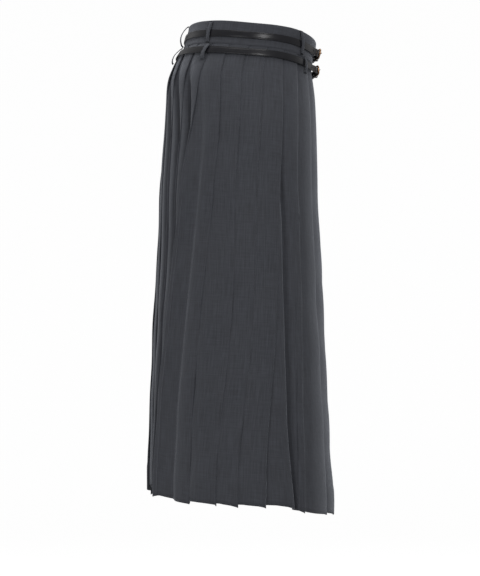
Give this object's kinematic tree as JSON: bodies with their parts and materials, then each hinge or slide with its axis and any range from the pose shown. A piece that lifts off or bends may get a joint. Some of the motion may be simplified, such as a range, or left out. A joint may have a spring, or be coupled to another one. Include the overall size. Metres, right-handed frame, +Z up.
{
  "type": "pleated midi skirt",
  "caption": "Long knife-pleated wool skirt in worn form, with a high waistband, cloth belt loops and narrow buckled leather belts.",
  "frame": {"origin": "inside the waist, on the middle of the waistband's width and depth, about level with the seam between the waistband and the pleats at the sides", "axes": "+Z up along the wearer, -Y towards the skirt's front, -X towards the wearer's right"},
  "size_m": [0.4142, 0.2938, 0.7773],
  "materials": {
    "wool": "dark slate-grey melange wool suiting, matt with a soft sheen",
    "leather": "near-black smooth leather, glossy",
    "brass": "aged bronze-coloured metal, polished on its edges"
  },
  "bodies": {
    "root": {"front_panel": "wool", "right_panel": "wool", "back_panel": "wool", "left_panel": "wool", "waistband": "wool", "belt_upper": "leather", "belt_lower": "leather", "keeper_upper": "leather", "keeper_lower": "leather", "buckle_upper": "brass", "buckle_lower": "brass", "prong_upper": "brass", "prong_lower": "brass", "loop_upper_front_right": "wool", "loop_upper_back_right": "wool", "loop_upper_back": "wool", "loop_upper_back_left": "wool", "loop_upper_front_left": "wool", "loop_lower_front_right": "wool", "loop_lower_back_right": "wool", "loop_lower_back": "wool", "loop_lower_back_left": "wool", "loop_lower_front_left": "wool"}
  },
  "joints": []
}
